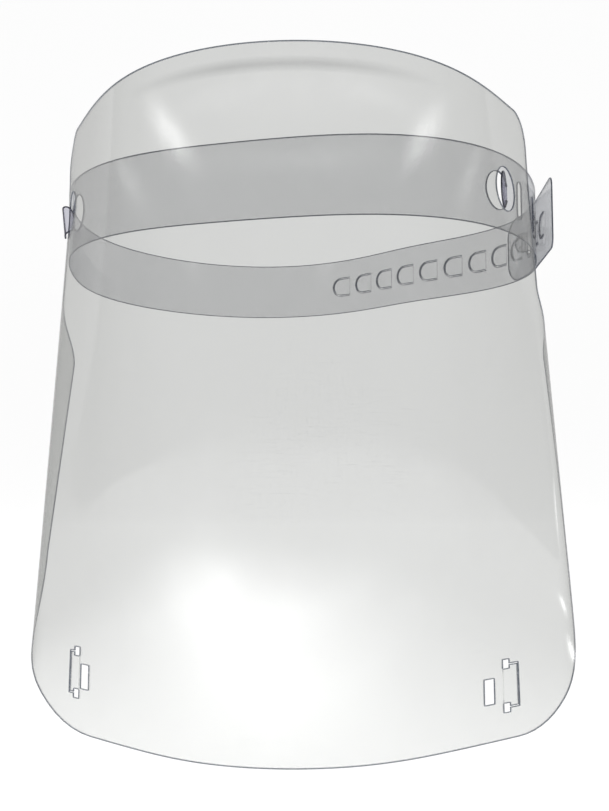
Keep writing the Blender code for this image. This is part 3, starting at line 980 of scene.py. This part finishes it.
def finish_tab(node, cut, thickness, bend, looks, step=FINE_STEP):
    """A tab that meets its sheet at its hinge and shows a cut edge everywhere else."""
    rim = reaching(cut, CLEARANCE)
    cuts = [(cut, False, True)]
    hinges = [(rim[-2], rim[-1])]
    name = node + "_sheet"
    mesh = fine_sheet(name, rim, thickness, bend, (), 0.0, cuts, hinges, step)
    add_piece(name, mesh, looks, node, node)


def finish_lock_tab(side, looks):
    node = f"lock_tab_{side}"
    bend = lock_bend(side)
    finish_tab(node, lock_disc(), BAND_THICK, bend, looks, CURL_STEP)


def finish_tongue(index, looks):
    tip = tongue_tip(index)
    hinge = tip + TONGUE_LENGTH
    angle = -HOOK_ANGLE if index == HOOKED_TONGUE else 0.0
    bend = turned(bend_band, tip, hinge, angle)
    cut = opened(tongue_outline(tip))
    finish_tab(f"size_tongue_{index:02d}", cut, BAND_THICK, bend, looks)


def finish_corner_tab(side, looks):
    cut = corner_tab_outline(side)
    half = len(cut) // 2
    cut = cut[half:] + cut[:half]
    finish_tab(f"corner_tab_{side}", cut, VISOR_THICK, bend_visor, looks)


def paper_look():
    """Plain white paper that glows a little, so that it stays white all over."""
    paper = bpy.data.materials.new("paper")
    paper.use_nodes = True
    surface = paper.node_tree.nodes["Principled BSDF"]
    surface.inputs["Base Color"].default_value = (PAPER_SHADE, PAPER_SHADE, PAPER_SHADE, 1.0)
    surface.inputs["Roughness"].default_value = 0.9
    surface.inputs["Emission Color"].default_value = (1.0, 1.0, 1.0, 1.0)
    surface.inputs["Emission Strength"].default_value = PAPER_GLOW
    return paper


def make_stage(floor_height):
    """A white sweep: a floor that curves up into a backdrop behind the object."""
    profile = [(SWEEP_FRONT, 0.0)]
    for turn in np.linspace(0.0, 0.5 * math.pi, SWEEP_STEPS + 1):
        run = SWEEP_ROUND * math.sin(turn)
        rise = SWEEP_ROUND * (1.0 - math.cos(turn))
        profile.append((SWEEP_BACK + run, rise))
    profile.append((SWEEP_BACK + SWEEP_ROUND, SWEEP_WALL))
    sides = (-SWEEP_HALF_WIDTH, SWEEP_HALF_WIDTH)
    shape = bmesh.new()
    rows = []
    for y, z in profile:
        rows.append([shape.verts.new((x, y, floor_height + z)) for x in sides])
    for near, far in zip(rows, rows[1:]):
        shape.faces.new((near[0], near[1], far[1], far[0]))
    mesh = bpy.data.meshes.new("sweep")
    shape.to_mesh(mesh)
    shape.free()
    mesh.shade_smooth()
    mesh.materials.append(paper_look())
    sweep = bpy.data.objects.new("sweep", mesh)
    bpy.context.scene.collection.objects.link(sweep)


def card_look(name, strength):
    """Light that is full in the middle of a card and fades out to its edges."""
    material = bpy.data.materials.new(name)
    material.use_nodes = True
    tree = material.node_tree
    tree.nodes.remove(tree.nodes["Principled BSDF"])
    place = tree.nodes.new("ShaderNodeTexCoord").outputs["UV"]
    split = tree.nodes.new("ShaderNodeSeparateXYZ")
    tree.links.new(place, split.inputs[0])
    fades = []
    for axis in ("X", "Y"):
        offset = math_node(tree, "SUBTRACT", split.outputs[axis], 0.5)
        away = math_node(tree, "ABSOLUTE", offset)
        fade = between(tree, away, 0.5, 0.1)
        fades.append(math_node(tree, "MULTIPLY", fade, fade))
    share = math_node(tree, "MULTIPLY", fades[0], fades[1])
    glow = tree.nodes.new("ShaderNodeEmission")
    glow.inputs["Strength"].default_value = strength
    clear = see_through(tree, (1.0, 1.0, 1.0))
    output = tree.nodes["Material Output"]
    look = mixed(tree, share, clear, glow.outputs[0])
    tree.links.new(look, output.inputs["Surface"])
    return material


def place_card(name, shape, strength):
    """Finishes a card: it shows only in what is glossy."""
    mesh = bpy.data.meshes.new(name)
    shape.to_mesh(mesh)
    shape.free()
    mesh.materials.append(card_look(name, strength))
    card = bpy.data.objects.new(name, mesh)
    card.visible_camera = False
    card.visible_diffuse = False
    card.visible_shadow = False
    bpy.context.scene.collection.objects.link(card)


def add_floor_glow(name, low, high, height, strength):
    """A patch of brighter light on the floor, seen only in what is glossy."""
    shape = bmesh.new()
    layer = shape.loops.layers.uv.new("card")
    corners = [(0.0, 0.0), (1.0, 0.0), (1.0, 1.0), (0.0, 1.0)]
    verts = []
    for u, v in corners:
        x = low[0] + (high[0] - low[0]) * u
        y = low[1] + (high[1] - low[1]) * v
        verts.append(shape.verts.new((x, y, height)))
    face = shape.faces.new(verts)
    for loop, place in zip(face.loops, corners):
        loop[layer].uv = place
    place_card(name, shape, strength)


def add_card(name, azimuths, elevations, height, strength):
    """A softbox on a sphere round the shield, seen only in what is glossy."""
    shape = bmesh.new()
    layer = shape.loops.layers.uv.new("card")
    rows = []
    for share in np.linspace(0.0, 1.0, CARD_STEPS + 1):
        azimuth = math.radians(azimuths[0] + (azimuths[1] - azimuths[0]) * share)
        middle = elevations[0] + (elevations[1] - elevations[0]) * share
        row = []
        for rise in (0.0, 1.0):
            elevation = math.radians(middle + (rise - 0.5) * height)
            direction = Vector(
                (
                    math.sin(azimuth) * math.cos(elevation),
                    -math.cos(azimuth) * math.cos(elevation),
                    math.sin(elevation),
                )
            )
            row.append((shape.verts.new(direction * CARD_DISTANCE), (share, rise)))
        rows.append(row)
    for near, far in zip(rows, rows[1:]):
        corners = [near[0], far[0], far[1], near[1]]
        face = shape.faces.new([vert for vert, _ in corners])
        for loop, (_, place) in zip(face.loops, corners):
            loop[layer].uv = place
    place_card(name, shape, strength)


def add_softbox(name, place, target, size, power):
    """A soft light that is aimed at a point and isn't mirrored in anything."""
    light = bpy.data.lights.new(name, "AREA")
    light.shape = "RECTANGLE"
    light.size, light.size_y = size
    light.energy = power
    lamp = bpy.data.objects.new(name, light)
    aim = Vector(target) - Vector(place)
    lamp.location = place
    lamp.rotation_euler = aim.to_track_quat("-Z", "Y").to_euler()
    lamp.visible_glossy = False
    bpy.context.scene.collection.objects.link(lamp)


def make_room():
    """Light from all round: dim in front of the shield, and plain white where it is seen."""
    world = bpy.data.worlds.new("studio")
    bpy.context.scene.world = world
    world.use_nodes = True
    tree = world.node_tree
    sky = tree.nodes["Background"]
    sky.inputs["Color"].default_value = (1.0, 1.0, 1.0, 1.0)
    split = tree.nodes.new("ShaderNodeSeparateXYZ")
    direction = tree.nodes.new("ShaderNodeTexCoord").outputs["Generated"]
    tree.links.new(direction, split.inputs[0])
    room = between(tree, split.outputs["Y"], *ROOM_TURN, ROOM_DARK, ROOM_BRIGHT)
    seen = tree.nodes.new("ShaderNodeLightPath").outputs["Is Camera Ray"]
    tree.links.new(math_node(tree, "MAXIMUM", room, seen), sky.inputs["Strength"])


def make_lights(floor_height):
    make_room()
    add_softbox("overhead", (0.1, -0.1, 1.3), (0.0, 0.0, 0.0), (1.4, 1.0), 5.0)
    add_card("left_streak", (-95.0, -44.0), (18.8, 11.6), 4.0, 3.6)
    add_card("right_streak", (95.0, 53.0), (18.8, 11.6), 4.0, 3.6)
    add_card("crown_light", (-80.0, 88.0), (16.2, 16.2), 2.4, 2.4)
    add_card("window", (118.0, 109.0), (-1.0, -6.5), 3.0, 5.0)
    glow_height = floor_height + GLOW_GAP
    add_floor_glow("low_glow", (-0.85, -0.75), (0.55, 0.15), glow_height, 5.0)
    add_floor_glow("window", (0.13, 0.01), (0.5, 0.12), glow_height, 6.0)
    add_floor_glow("window", (0.5, 0.12), (1.2, 0.3), glow_height, 6.0)


def make_camera():
    camera = bpy.data.cameras.new("camera")
    camera.lens = CAMERA_LENS
    camera.sensor_width = 36.0
    camera.clip_start = 0.01
    holder = bpy.data.objects.new("camera", camera)
    tilt = Matrix.Rotation(math.radians(90.0 + CAMERA_PITCH), 4, "X")
    holder.matrix_world = (
        Matrix.Translation(CAMERA_PLACE)
        @ Matrix.Rotation(math.radians(CAMERA_YAW), 4, "Z")
        @ tilt
        @ Matrix.Rotation(math.radians(CAMERA_ROLL), 4, "Z")
    )
    bpy.context.scene.collection.objects.link(holder)
    bpy.context.scene.camera = holder


# The visor's look carries the painted shade line across its forehead.
visor_look = clear_plastic(
    "visor_clear_sheet", (0.845, 0.849, 0.843), (0.5, 0.5, 0.49), 0.03, 0.05, True
)
band_look = clear_plastic(
    "band_clear_strip", (0.86, 0.862, 0.867), (0.55, 0.56, 0.58), 0.03, 0.06
)
tab_look = clear_plastic(
    "tab_clear_piece", (0.80, 0.80, 0.84), (0.36, 0.35, 0.44), 0.04, 0.06
)
visor_edge = cut_edge("visor_cut_edge", (0.20, 0.22, 0.26), 0.45)
band_edge = cut_edge("band_cut_edge", (0.14, 0.15, 0.19), 0.4)
tab_edge = cut_edge("tab_cut_edge", (0.05, 0.05, 0.08), 0.15)
finish_visor([visor_look, visor_edge])
finish_headband([band_look, band_edge])
for side in LOCK_ANGLES:
    finish_lock_tab(side, [tab_look, tab_edge])
    finish_corner_tab(side, [visor_look, visor_edge])
for index in range(1, TONGUE_COUNT + 1):
    finish_tongue(index, [band_look, band_edge])
floor_height = CAD_BOX[0].z - FLOOR_GAP
make_stage(floor_height)
make_lights(floor_height)
make_camera()
bpy.context.scene.view_settings.view_transform = "Standard"
